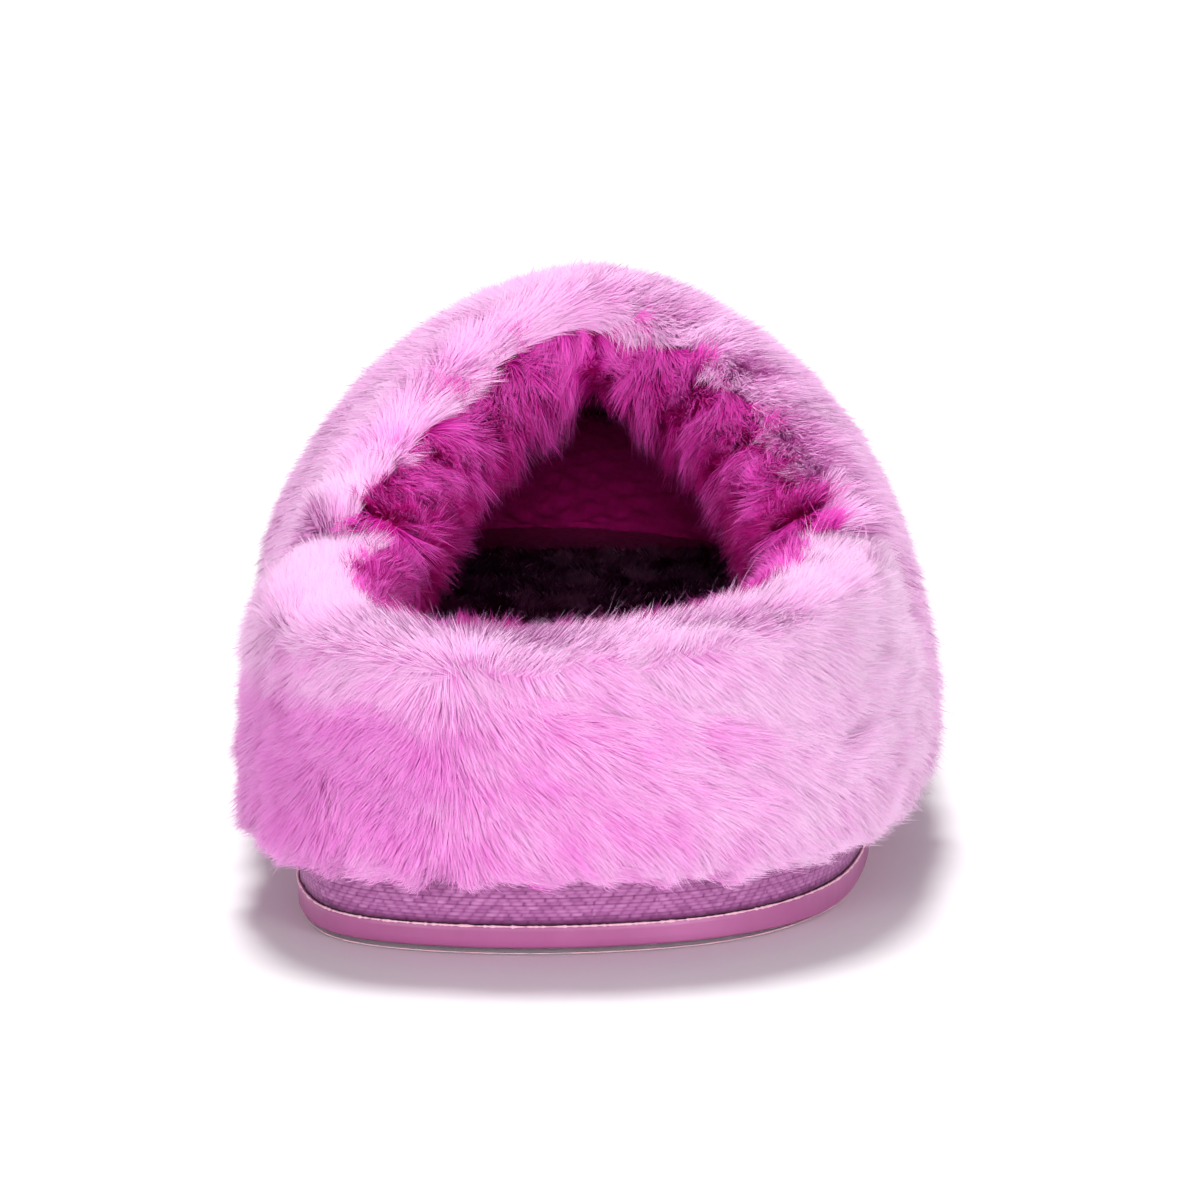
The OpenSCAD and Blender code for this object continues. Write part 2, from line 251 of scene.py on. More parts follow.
def weld(vertices, quads):
    """Joins equal vertices and turns quads that lost a side into triangles."""
    _, first, back = np.unique(np.round(vertices / WELD_DISTANCE).astype(np.int64), axis=0,
                               return_index=True, return_inverse=True)
    quads = back.ravel()[quads]
    lost = quads == np.roll(quads, -1, axis=1)
    whole = ~lost.any(axis=1)
    thin = lost.sum(axis=1) == 1
    threes = np.array([row[~gone] for row, gone in zip(quads[thin], lost[thin])]).reshape(-1, 3)
    return vertices[first], threes, quads[whole]


def shell(name, outside, inside, closed_top):
    """Closed piece between two grids of points, the first of them on the outside."""
    columns, rows = outside.shape[:2]
    vertices = np.concatenate([outside.reshape(-1, 3), inside.reshape(-1, 3)])
    skin = grid_quads(columns, rows)
    back = columns * rows
    i, j = np.arange(columns - 1), np.arange(rows - 1)
    low = np.stack([(i + 1) * rows, i * rows, back + i * rows, back + (i + 1) * rows], axis=1)
    first = np.stack([j, j + 1, back + j + 1, back + j], axis=1)
    end = (columns - 1) * rows
    last = np.stack([end + j + 1, end + j, back + end + j, back + end + j + 1], axis=1)
    faces = [skin, back + skin[:, ::-1], low, first, last]
    if closed_top:
        high = low + rows - 1
        faces.append(high[:, ::-1])
    vertices, threes, fours = weld(vertices, np.concatenate(faces))
    return new_object(name, vertices, threes, fours)


# ---------------------------------------------------------------- smooth noise

def waves(points, size, seed, octaves=3):
    """Smooth noise from -1 to 1 over points in millimetres, with features of the size given."""
    rng = np.random.default_rng(seed)
    total = np.zeros(points.shape[:-1])
    for _ in range(octaves):
        for _ in range(4):
            direction = rng.normal(size=3)
            direction *= 2 * math.pi / size * rng.uniform(0.6, 1.3) / np.linalg.norm(direction)
            total += np.sin(points @ direction + rng.uniform(0, 2 * math.pi))
        size *= 0.6
    return total / (2.2 * math.sqrt(octaves))


# ---------------------------------------------------------------- materials

def shader(name, roughness, sheen=0.0, sheen_tint=(1, 1, 1), sheen_roughness=0.5, specular=0.3):
    material = bpy.data.materials.new(name)
    material.use_nodes = True
    node = material.node_tree.nodes["Principled BSDF"]
    node.inputs["Roughness"].default_value = roughness
    node.inputs["Specular IOR Level"].default_value = specular
    node.inputs["Sheen Weight"].default_value = sheen
    node.inputs["Sheen Roughness"].default_value = sheen_roughness
    node.inputs["Sheen Tint"].default_value = (*sheen_tint, 1)
    return material, material.node_tree, node


def srgb(red, green, blue):
    """Linear colour from display values of 0 to 255."""
    return tuple(((c / 255 + 0.055) / 1.055) ** 2.4 if c > 10.3 else c / 255 / 12.92
                 for c in (red, green, blue))


def ramp(tree, stops):
    node = tree.nodes.new("ShaderNodeValToRGB")
    elements = node.color_ramp.elements
    while len(elements) > 1:
        elements.remove(elements[-1])
    elements[0].position = stops[0][0]
    elements[0].color = (*stops[0][1], 1)
    for at, colour in stops[1:]:
        elements.new(at).color = (*colour, 1)
    return node


# The strand map is one small chart of tone against length that every hair shares.
STRAND_MAP = "OFBake"


def strand_material(name, deep, light, roughness, sheen, sheen_tint):
    """Hair colours: each strand has a tone from deep to light, and each tone its root and tip. The
    deeper, more saturated colour towards the root is partly the fur's own colour and partly painted
    shade down in the pile.
    """
    material, tree, node = shader(name, roughness, sheen, sheen_tint, sheen_roughness=0.35,
                                  specular=0.03)
    uv = tree.nodes.new("ShaderNodeUVMap")
    uv.uv_map = STRAND_MAP
    split = tree.nodes.new("ShaderNodeSeparateXYZ")
    dark = ramp(tree, deep)
    pale = ramp(tree, light)
    mix = tree.nodes.new("ShaderNodeMix")
    mix.data_type = "RGBA"
    link = tree.links.new
    link(uv.outputs["UV"], split.inputs[0])
    link(split.outputs["Y"], dark.inputs["Fac"])
    link(split.outputs["Y"], pale.inputs["Fac"])
    link(split.outputs["X"], mix.inputs["Factor"])
    link(dark.outputs["Color"], mix.inputs["A"])
    link(pale.outputs["Color"], mix.inputs["B"])
    link(mix.outputs["Result"], node.inputs["Base Color"])
    return material


def cloth_material(name, dark, light, scale, roughness=0.85, bump=0.3):
    """Mottled matte material with a fine bump, for backings, foams and boards."""
    material, tree, node = shader(name, roughness)
    place = tree.nodes.new("ShaderNodeTexCoord")
    coarse = tree.nodes.new("ShaderNodeTexNoise")
    coarse.inputs["Scale"].default_value = scale
    coarse.inputs["Detail"].default_value = 4
    colours = ramp(tree, [(0.35, dark), (0.65, light)])
    relief = tree.nodes.new("ShaderNodeBump")
    relief.inputs["Strength"].default_value = bump
    relief.inputs["Distance"].default_value = 0.0004
    link = tree.links.new
    link(place.outputs["Object"], coarse.inputs["Vector"])
    link(coarse.outputs["Fac"], colours.inputs["Fac"])
    link(colours.outputs["Color"], node.inputs["Base Color"])
    link(coarse.outputs["Fac"], relief.inputs["Height"])
    link(relief.outputs["Normal"], node.inputs["Normal"])
    return material


# Each ramp runs from root to tip. The deep root colours are partly the fur's own and partly painted
# shade between the hairs.
OUTER_HAIR = strand_material(
    "outer_hair",
    [(0.0, srgb(238, 70, 206)), (0.45, srgb(247, 114, 222)), (1.0, srgb(251, 160, 236))],
    [(0.0, srgb(248, 128, 226)), (0.45, srgb(254, 178, 240)), (1.0, srgb(255, 222, 250))],
    0.65, 0.15, (1.0, 0.75, 0.94))
LINING_HAIR = strand_material(
    "lining_hair",
    [(0.0, srgb(214, 4, 150)), (0.5, srgb(236, 26, 178)), (1.0, srgb(244, 64, 200))],
    [(0.0, srgb(230, 20, 168)), (0.5, srgb(248, 72, 208)), (1.0, srgb(252, 128, 226))],
    0.6, 0.08, (1.0, 0.5, 0.9))
SOCK_HAIR = strand_material(
    "sock_hair",
    [(0.0, srgb(176, 30, 130)), (1.0, srgb(212, 80, 180))],
    [(0.0, srgb(200, 60, 160)), (1.0, srgb(232, 130, 208))],
    0.6, 0.08, (1.0, 0.6, 0.9))
# The backings show between the hairs as underfur. Their deep colours are partly their own and partly
# painted shade down in the pile.
OUTER_BACKING = cloth_material("outer_backing", srgb(238, 92, 210), srgb(246, 136, 226), 900)
LINING_BACKING = cloth_material("lining_backing", srgb(222, 4, 142), srgb(238, 14, 160), 900)
SOCK_BACKING = cloth_material("sock_backing", srgb(170, 40, 130), srgb(196, 70, 160), 900)
FOAM = cloth_material("white_foam", srgb(224, 222, 214), srgb(244, 243, 238), 1400, 0.9, 0.6)
BOARD = cloth_material("fibre_board", srgb(176, 148, 116), srgb(206, 182, 150), 500, 0.8, 0.2)
STIFFENER = cloth_material("heel_stiffener", srgb(206, 202, 192), srgb(222, 219, 210), 300, 0.6, 0.1)
EVA = cloth_material("midsole_eva", srgb(196, 150, 190), srgb(212, 168, 206), 1600, 0.8, 0.4)
THREAD = cloth_material("plum_thread", srgb(120, 40, 104), srgb(164, 74, 146), 2600, 0.7, 0.6)


# ---------------------------------------------------------------- fur

DOWN = np.array([0.0, 0.0, -1.0])
BACK = np.array([0.0, -1.0, 0.0])
OUTWARD = np.array([1.0, 0.0, 0.0])
DENSITY = 1.0
MOST_TRIANGLES = 180000
SOFTEN = 0.82
FUR_TUCK = 1.0
VISIBLE_LINING_END = 205
VISIBLE_SOCK_END = 215

# Shares of the half turn over a rolled edge at which outer fur gives way to lining.
VAMP_SPLIT = -0.42
HEEL_SPLIT = 0.3


class Surface:
    """A fine grid of a surface that hairs grow from."""

    def __init__(self, make, columns, rows, level_range=(-1, 1)):
        share = np.linspace(0, 1, columns)
        level = np.linspace(*level_range, rows)
        self.share, self.level = np.meshgrid(share, level, indexing="ij")
        self.points = make(self.share, self.level)

    def scatter(self, per_square_mm, rng):
        """Random points with an even number to the square millimetre."""
        p = self.points
        a, b, c, d = p[:-1, :-1], p[1:, :-1], p[1:, 1:], p[:-1, 1:]
        cross = np.cross(c - a, d - b)
        area = np.linalg.norm(cross, axis=-1) / 2
        area = np.where(area > 1e-4, area, 0)
        count = int(area.sum() * per_square_mm)
        cell = rng.choice(area.size, size=count, p=(area / area.sum()).ravel())
        i, j = np.unravel_index(cell, area.shape)
        u, v = rng.random((2, count))

        def inside(grid):
            corners = [grid[i, j], grid[i + 1, j], grid[i + 1, j + 1], grid[i, j + 1]]
            weights = [(1 - u) * (1 - v), u * (1 - v), u * v, (1 - u) * v]
            if grid.ndim == 3:
                weights = [w[:, None] for w in weights]
            return sum(w * x for w, x in zip(weights, corners))

        normal = cross[i, j] / np.linalg.norm(cross[i, j], axis=1, keepdims=True)
        around = b[i, j] - a[i, j] + c[i, j] - d[i, j]
        around /= np.maximum(np.linalg.norm(around, axis=1, keepdims=True), 1e-9)
        return dict(root=inside(p), normal=normal, around=around,
                    share=inside(self.share), level=inside(self.level))


def unit(v):
    return v / np.maximum(np.linalg.norm(v, axis=-1, keepdims=True), 1e-9)


def tufts(roots, tips, spacing, rng):
    """For each hair, the tip of the tuft that it belongs to."""
    count = max(1, int(len(roots) / (spacing * DENSITY)))
    centres = rng.choice(len(roots), size=count, replace=False)
    tree = kdtree.KDTree(count)
    for k, c in enumerate(centres):
        tree.insert(roots[c], k)
    tree.balance()
    mine = np.array([tree.find(r)[1] for r in roots])
    return tips[centres[mine]]


def grow(name, roots, direction, length, tone, width, material, slot, rng, droop, tuft, pull, curl,
         segments, lowest):
    """Tapered ribbons for hairs, in as many pieces as keep each mesh light. direction is where a hair
    sets out and droop how it turns by its tip. Hairs lean in tufts of so many, and those that would
    hang below the height lowest are combed up to it."""
    root, normal = roots["root"], roots["normal"]
    count = len(root)
    steps = np.linspace(0, 1, segments + 1)[None, :, None]
    straight = root[:, None] + length[:, None, None] * (
        steps * direction[:, None] + steps ** 2 * droop[:, None])
    tip = tufts(root, straight[:, -1], tuft, rng)
    strength = pull * rng.uniform(0.3, 1.0, count)
    points = straight + steps ** 1.6 * strength[:, None, None] * (tip - straight[:, -1])[:, None]
    sway = rng.normal(size=(count, 3)) * curl * length[:, None]
    points = points + steps ** 2 * sway[:, None]
    if lowest is not None:
        floor = (lowest + 1.3 * waves(root, 8, 61) + rng.normal(0, 0.5, count))[:, None]
        floor = np.minimum(floor, root[:, None, 2])
        points[..., 2] = np.maximum(points[..., 2], floor + 0.1 * (points[..., 2] - floor))
    along = unit(np.gradient(points, axis=1))
    roll = rng.uniform(-0.9, 0.9, count)[:, None]
    facing = unit(normal * np.cos(roll) + unit(np.cross(direction, normal)) * np.sin(roll))
    across = unit(np.cross(along, facing[:, None]))
    taper = np.linspace(1, 0.35, segments + 1)[None]
    half = across * (width * rng.uniform(0.7, 1.25, count)[:, None] * taper)[..., None] / 2
    ring = np.stack([points[:, :-1] + half[:, :-1], points[:, :-1] - half[:, :-1]], axis=2)
    vertices = np.concatenate([ring.reshape(count, -1, 3), points[:, -1:]], axis=1)
    size = 2 * segments + 1
    k = np.arange(segments - 1)
    quads = np.stack([2 * k, 2 * k + 2, 2 * k + 3, 2 * k + 1], axis=1)
    three = np.array([[size - 3, size - 1, size - 2]])
    shade = unit(unit(np.cross(along, across)) * (1 - SOFTEN) + normal[:, None] * SOFTEN)
    per_vertex = np.concatenate([np.repeat(shade[:, :-1], 2, axis=1), shade[:, -1:]], axis=1)
    along_uv = np.concatenate([np.repeat(np.linspace(0, 1, segments + 1)[:-1], 2), [1.0]])
    uv = np.stack([np.broadcast_to(np.clip(tone, 0.02, 0.98)[:, None], (count, size)),
                   np.broadcast_to(np.clip(along_uv, 0.02, 0.98), (count, size))], axis=-1)
    pieces = math.ceil(count * (2 * segments - 1) / MOST_TRIANGLES)
    order = np.argsort(root[:, 1], kind="stable")
    for number, chosen in enumerate(np.array_split(order, pieces)):
        base = np.arange(len(chosen))[:, None, None] * size
        piece, mesh = new_object(
            f"{name}_{number + 1}" if pieces > 1 else name, placed(vertices[chosen].reshape(-1, 3)),
            (base + three).reshape(-1, 3), (base + quads).reshape(-1, 4))
        add_uv(mesh, STRAND_MAP, uv[chosen].reshape(-1, 2))
        mesh.normals_split_custom_set_from_vertices(
            per_vertex[chosen].reshape(-1, 3).astype(np.float32))
        finish_piece(piece, material, slot)


def fluff(name, roots, flow, lift, length, tone, width, material, slot, rng, droop=0.15, tuft=12,
          pull=0.4, curl=0.1, segments=3, lowest=None):
    """Pile on scattered roots. flow is where it lies and lift, from 0 to 1, how far it stands up."""
    count = len(roots["root"])
    lift = np.broadcast_to(lift, count)[:, None]
    along = in_plane(flow, roots["normal"])
    grow(name, roots, unit(roots["normal"] * lift + along * (1.1 - lift)),
         length * rng.uniform(0.62, 1.1, count), np.clip(tone + rng.normal(0, 0.17, count), 0, 1),
         width, material, slot, rng, along * 0.25 + DOWN * droop, tuft, pull, curl, segments, lowest)


def in_plane(vector, normal):
    return unit(vector - (vector * normal).sum(-1, keepdims=True) * normal)


def smoothstep(x, low, high):
    t = np.clip((x - low) / (high - low), 0, 1)
    return t * t * (3 - 2 * t)


def backing(name, make, base, top, tuck, bottom, material, slot, nodes, columns, rows, closed_top,
            rough, hem):
    """Dense underfur: the closed body that the long hairs stand in, with an uneven surface."""
    share, level = np.meshgrid(np.linspace(0, 1, columns), np.linspace(-1, 1, rows), indexing="ij")
    plain = make(share, level, base, tuck, bottom, hem)
    near_edge = np.minimum(smoothstep(share, 0, 0.015), smoothstep(1 - share, 0, 0.015))
    if closed_top:
        near_edge = near_edge * smoothstep(1 - level, 0, 0.12)
    depth = base + (top - base) * (0.45 + 0.55 * near_edge) * (1 + rough * waves(plain, 7, 11))
    full = make(share, level, depth, tuck, bottom, hem)
    sides = (plain, full) if top < base else (full, plain)
    piece, _ = shell(name, placed(sides[0]), placed(sides[1]), closed_top)
    return finish_piece(piece, material, slot, *nodes)


def wander(root, size, seed):
    """Smoothly changing direction over the roots."""
    return np.stack([waves(root, size, seed + k) for k in range(3)], axis=1)


def vamp_edge(share, out, sink):
    """Line along the vamp's edge at the foot opening, from the outer seam over the throat to the
    inner seam."""
    up = SEAM_LEVEL - 0.03 + (1.03 - SEAM_LEVEL) * (1 - np.abs(2 * share - 1))
    return vamp_surface(np.where(share <= 0.5, 0.0, 1.0), up, out, 0.0, UPPER_BOTTOM, sink)


def vamp_shoulder(share):
    """From 0 at the seams and the throat to 1 half way up each side of the opening."""
    return np.sin(np.pi * np.clip(1 - np.abs(2 * share - 1), 0, 1)) ** 2


def heel_edge(share, out, sink):
    """Line along the heel's rim, from the inner seam round the back to the outer seam."""
    return heel_surface(share, np.ones_like(share), out, 0.0, UPPER_BOTTOM, sink)


def rolled(edge_line, out, back, sink, swell, thicken=None):
    """Grid function of a rounded edge. share runs along it, and level -1 to 1 from the side at the
    distance out round to the side at the distance back."""
    def line(share, distance):
        return edge_line(np.clip(share, 0, 1), distance, sink)

    def make(share, level, size=1.0):
        inner = back if thicken is None else back - thicken * vamp_shoulder(share)
        a, b = line(share, out), line(share, inner)
        along = line(share + 0.002, (out + inner) / 2) - line(share - 0.002, (out + inner) / 2)
        normal = unit(a - b)
        ahead = unit(np.cross(normal, along))
        angle = np.pi * (level + 1) / 2
        half = np.linalg.norm(a - b, axis=-1) / 2
        return (a + b) / 2 + size * (normal * (half * np.cos(angle))[..., None]
                                     + ahead * (swell * np.sin(angle))[..., None])
    return make


VAMP_ROLL = rolled(vamp_edge, out=5.2, back=-9.0, sink=3.5, swell=5.0, thicken=1.0)
HEEL_ROLL = rolled(heel_edge, out=5.4, back=-7.6, sink=4.0, swell=3.4)


def roll_core(name, make, levels, material, slot, columns):
    """Solid core of part of a rolled edge."""
    share, level = np.meshgrid(np.linspace(0, 1, columns), np.linspace(*levels, 14), indexing="ij")
    lumps = 1 + 0.05 * waves(make(share, level), 6, 17)[..., None]
    core = make(share, level, 0.35)
    piece, _ = shell(name, placed(core + (make(share, level, 0.94) - core) * lumps), placed(core), True)
    finish_piece(piece, material, slot)


def band(make, levels, columns, rows):
    """Part of a rolled edge that pile grows from."""
    return Surface(make, columns, rows, level_range=levels)


def vamp_fur():
    rng = np.random.default_rng(1)
    backing("vamp_underfur", vamp_surface, base=FUR_BASE, top=6.4, tuck=FUR_TUCK, bottom=10.5,
            material=OUTER_BACKING, slot="outer_fur", nodes=["vamp_fur"], columns=220, rows=70,
            closed_top=False, rough=0.1, hem=1.5)
    ground = Surface(lambda s, l: vamp_surface(s, l, 5.6, FUR_TUCK, 11.0, hem=1.0), 320, 110)
    roots = ground.scatter(11.0 * DENSITY, rng)
    root = roots["root"]
    sideways = np.tanh((root[:, :1] - 2) / 24) * OUTWARD
    near = 1 - smoothstep(2 * (0.5 - np.abs(roots["share"] - 0.5)), 0, 0.2)
    near = near * smoothstep(roots["level"], SEAM_LEVEL - 0.2, SEAM_LEVEL + 0.1)
    flow = (DOWN * 0.4 + sideways * 0.6 + BACK * (0.15 * near[:, None] - 0.45)
            + wander(root, 34, 21) * 0.4)
    fluff("vamp_hair", roots, flow, lift=0.66 + 0.07 * waves(root, 14, 24),
          length=6.2 * (1 + 0.1 * waves(root, 10, 25)), tone=0.7 + 0.15 * waves(root, 15, 26),
          width=0.19, material=OUTER_HAIR, slot="outer_fur", rng=rng, tuft=16, lowest=8.5)

    roll_core("vamp_edge_core", VAMP_ROLL, (-1.1, VAMP_SPLIT), OUTER_BACKING, "outer_fur", 120)
    roots = band(VAMP_ROLL, (-1.25, VAMP_SPLIT + 0.05), 240, 14).scatter(30.0 * DENSITY, rng)
    root = roots["root"]
    flow = DOWN * 0.5 - roots["around"] * 0.45 - BACK * 0.3 + wander(root, 30, 27) * 0.4
    fluff("vamp_edge_hair", roots, flow, lift=0.68, length=6.8 * (1 + 0.08 * waves(root, 9, 28)),
          tone=0.78 + 0.16 * waves(root, 14, 29), width=0.13, material=OUTER_HAIR, slot="outer_fur",
          rng=rng, tuft=9, pull=0.3)


def heel_fur():
    rng = np.random.default_rng(2)
    backing("heel_underfur", heel_surface, base=FUR_BASE, top=5.2, tuck=FUR_TUCK, bottom=10.8,
            material=OUTER_BACKING, slot="outer_fur", nodes=["heel_fur"], columns=160, rows=50,
            closed_top=True, rough=0.1, hem=3.0)
    ground = Surface(lambda s, l: heel_surface(s, l, 4.6, FUR_TUCK, 11.2, hem=0.5), 240, 90)
    roots = ground.scatter(30.0 * DENSITY, rng)
    root, around = roots["root"], roots["around"]
    inner = inner_side(root)
    stand = inner * smoothstep(root[:, 2], 15, 21) * (1 - smoothstep(root[:, 2], 33, 41))
    low = 1 - smoothstep(root[:, 2], 13, 26)
    # high: painted highlight, the pile made paler towards the top of the heel wall.
    high = smoothstep(root[:, 2], 33, 40)
    flow = (around * (0.9 - 1.5 * inner)[:, None] + wander(root, 24, 31) * 0.4
            + DOWN * (0.2 + 0.7 * low + 0.5 * inner)[:, None])
    # Tone is lower where the pile stands on the inner side, which is painted shade of looking down into
    # the pile. It is higher towards the outer side, which is the fur's own tone, and higher near the
    # top through high, which is a painted highlight.
    tone = 0.38 - 0.42 * stand + 0.62 * smoothstep(root[:, 0], 0, 40) + 0.16 * waves(root, 12, 36)
    fluff("heel_hair", roots, flow, lift=0.62 + 0.14 * stand + 0.1 * waves(root, 9, 34) - 0.1 * low,
          length=(6.0 - 1.6 * stand) * (1 + 0.14 * waves(root, 7, 35)), tone=tone + 0.25 * high,
          width=0.14, material=OUTER_HAIR, slot="outer_fur", rng=rng, lowest=12.2)

    roll_core("heel_edge_core", HEEL_ROLL, (-1.1, HEEL_SPLIT), OUTER_BACKING, "outer_fur", 120)
    roots = band(HEEL_ROLL, (-1.0, HEEL_SPLIT), 260, 16).scatter(36.0 * DENSITY, rng)
    root = roots["root"]
    stray = rng.random(len(root)) < 0.01
    flow = roots["around"] * (0.5 - 1.1 * inner_side(root))[:, None] + wander(root, 30, 37) * 0.4
    # The rim hair's near-white tone is partly the fur's own pale tips and partly a painted highlight
    # along the top of the rolled rim.
    fluff("heel_rim_hair", roots, flow, lift=0.7,
          length=np.where(stray, 7.5, 4.2) * (1 + 0.08 * waves(root, 7, 38)),
          tone=0.9 + 0.1 * waves(root, 12, 39), width=0.11, material=OUTER_HAIR, slot="outer_fur",
          rng=rng, droop=0.05, tuft=7, pull=0.25)


def inner_side(root):
    """From 0 over most of the heel to 1 at its inner side, where the pile lies the other way."""
    return smoothstep(-root[:, 0], 8, 24)


def vamp_lining(rng):
    backing("vamp_lining_underfur", vamp_surface, base=VAMP_LINING[0], top=-7.8, tuck=-6.0,
            bottom=UPPER_BOTTOM, material=LINING_BACKING, slot="lining_fur",
            nodes=["vamp_lining_outer", "vamp_lining_inner"], columns=160, rows=60, closed_top=False,
            rough=0.12, hem=1.5)
    ground = Surface(lambda s, l: vamp_surface(s, l, -7.2, -6.0, UPPER_BOTTOM, hem=1.0), 260, 90)
    roots = ground.scatter(4.5 * DENSITY, rng)
    seen = roots["root"][:, 1] < VISIBLE_LINING_END
    roots = {key: values[seen] for key, values in roots.items()}
    roots["normal"] = -roots["normal"]
    root = roots["root"]
    # The lining inside the upper gets a deeper tone than its rolled edge, which is painted shade inside
    # the upper.
    fluff("vamp_lining_hair", roots, DOWN * 0.5 + BACK * 0.4 + wander(root, 20, 41) * 0.6, lift=0.6,
          length=5.8, tone=0.4 + 0.25 * waves(root, 12, 45), width=0.26, material=LINING_HAIR,
          slot="lining_fur", rng=rng, segments=2)

    roll_core("lining_edge_core", VAMP_ROLL, (VAMP_SPLIT, 1.1), LINING_BACKING, "lining_fur", 120)
    roots = band(VAMP_ROLL, (VAMP_SPLIT, 1.3), 260, 24).scatter(26.0 * DENSITY, rng)
    root, share = roots["root"], roots["share"]
    parting = np.exp(-((share - 0.5) / 0.022) ** 2)
    inside = smoothstep(roots["level"], 0.0, 1.2)
    flow = roots["around"] * (np.sign(share - 0.5) * 0.5)[:, None] + wander(root, 16, 47) * 0.55
    # Tone is lower towards the inside of the opening, through inside, and along the parting at the
    # centre seam. Both are painted shade.
    fluff("lining_edge_hair", roots, flow, lift=0.66 + 0.12 * waves(root, 7, 46),
          length=6.0 * (1 - 0.55 * parting) * (1 + 0.2 * waves(root, 6, 49)),
          tone=0.62 - 0.3 * inside - 0.35 * parting + 0.28 * waves(root, 7, 48), width=0.14,
          material=LINING_HAIR, slot="lining_fur", rng=rng, tuft=14, pull=0.4)


def heel_lining(rng):
    backing("heel_lining_underfur", heel_surface, base=HEEL_LINING[0], top=-7.4, tuck=-5.5,
            bottom=UPPER_BOTTOM, material=LINING_BACKING, slot="lining_fur", nodes=["heel_lining"],
            columns=120, rows=40, closed_top=True, rough=0.12, hem=3.0)
    ground = Surface(lambda s, l: heel_surface(s, l, -6.8, -5.4, UPPER_BOTTOM, hem=2.0), 200, 70)
    roots = ground.scatter(7.0 * DENSITY, rng)
    roots["normal"] = -roots["normal"]
    root = roots["root"]
    # A deeper tone than the lining's rolled edge, which is painted shade inside the heel.
    fluff("heel_lining_hair", roots, DOWN * 0.6 + wander(root, 18, 51) * 0.6, lift=0.6, length=5.2,
          tone=0.45 + 0.2 * waves(root, 12, 52), width=0.24, material=LINING_HAIR, slot="lining_fur",
          rng=rng, segments=2)

    roll_core("heel_lining_edge_core", HEEL_ROLL, (HEEL_SPLIT, 1.1), LINING_BACKING, "lining_fur", 120)
    roots = band(HEEL_ROLL, (HEEL_SPLIT, 1.3), 240, 14).scatter(22.0 * DENSITY, rng)
    root = roots["root"]
    flow = roots["around"] * 0.2 + wander(root, 12, 53) * 0.7
    # The rolled edge gets a paler tone than the lining below it, which is a painted highlight along the
    # top of the rim.
    fluff("heel_lining_edge_hair", roots, flow, lift=0.7, length=4.6,
          tone=0.75 + 0.15 * waves(root, 10, 54), width=0.14, material=LINING_HAIR,
          slot="lining_fur", rng=rng, droop=0.05)


def lining_fur():
    rng = np.random.default_rng(3)
    vamp_lining(rng)
    heel_lining(rng)


# ---------------------------------------------------------------- inside the upper and the sock

def layer(name, make, outer, inner, bottom, hem, material, slot, node, quilt):
    """Inner layer of the upper, softly quilted and set back from the edges of the fur."""
    share, level = np.meshgrid(np.linspace(0, 1, 140), np.linspace(-1, 1, 46), indexing="ij")
    plain = make(share, level, outer, outer, bottom, hem)
    quilted = make(share, level, inner - quilt * waves(plain, 9, 91), inner, bottom, hem)
    piece, _ = shell(name, placed(plain), placed(quilted), closed_top=make is heel_surface)
    return finish_piece(piece, material, slot, node)


def sock_slab(name, bottom, top, dome, material, slot, node):
    """Slab over the insole, rounded down at its edge by dome, and its upper surface."""
    turn, across = np.meshgrid(np.linspace(0.012, 0.988, 160), np.linspace(0, 1, 40), indexing="ij")
    a, b = edge(turn, -SOCK_INSET + 0 * turn), edge(2 - turn, -SOCK_INSET + 0 * turn)
    flat = a + (b - a) * across[..., None]
    border = np.minimum(np.minimum(across, 1 - across) * 2, np.minimum(turn, 1 - turn) * 5)
    height = top - dome * (1 - np.sqrt(np.clip(1 - (1 - np.clip(border * 4, 0, 1)) ** 2, 0, 1)))
    height = height + 0.12 * waves(np.concatenate([flat, 0 * border[..., None]], axis=-1), 9, 92)
    over = np.concatenate([flat, height[..., None]], axis=-1)
    under = np.concatenate([flat, np.full_like(height, bottom)[..., None]], axis=-1)
    piece, _ = shell(name, placed(over), placed(under), True)
    return finish_piece(piece, material, slot, node), over


def inside_parts():
    rng = np.random.default_rng(4)
    for piece in (
            layer("vamp_foam", vamp_surface, *VAMP_PADDING, UPPER_BOTTOM, 6.0, FOAM, "padding_foam",
                  "vamp_padding", 0.25),
            layer("heel_foam", heel_surface, *HEEL_PADDING, UPPER_BOTTOM, 7.0, FOAM, "padding_foam",
                  "heel_padding", 0.25)):
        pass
    layer("heel_stiffener", heel_surface, *HEEL_COUNTER, UPPER_BOTTOM, 8.0, STIFFENER,
          "heel_stiffener", "heel_counter", 0.0)
    piece, _ = sock_slab("sock_cushion", SOCK_BOTTOM, FOAM_TOP, 0.4, FOAM, "padding_foam", "sock_foam")
    piece, over = sock_slab("sock_underfur", FOAM_TOP + 0.2, SOCK_TOP - 1.2, 0.8, SOCK_BACKING,
                            "sock_plush", "sock_plush")
    sock = Surface(lambda share, level: over, 160, 40)
    roots = sock.scatter(7.0 * DENSITY, rng)
    seen = roots["root"][:, 1] < VISIBLE_SOCK_END
    roots = {key: values[seen] for key, values in roots.items()}
    root = roots["root"]
    fluff("sock_hair", roots, wander(root, 16, 93), lift=0.75, length=2.4,
          tone=0.5 + 0.25 * waves(root, 13, 94), width=0.22, material=SOCK_HAIR, slot="sock_plush",
          rng=rng, droop=0.0, segments=2)


def kept_nodes():
    """The CAD solids whose shape is right get their finish."""
    for names, material in (
            (("midsole",), EVA),
            (("insole_board",), BOARD),
            (("side_seam_outer", "side_seam_inner", "lining_seam", "vamp_topline_stitch",
              "heel_topline_stitch", "lasting_stitch"), THREAD)):
        for node in names:
            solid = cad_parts[node]
            solid.data.materials.clear()
            solid.data.materials.append(material)


# ---------------------------------------------------------------- sole

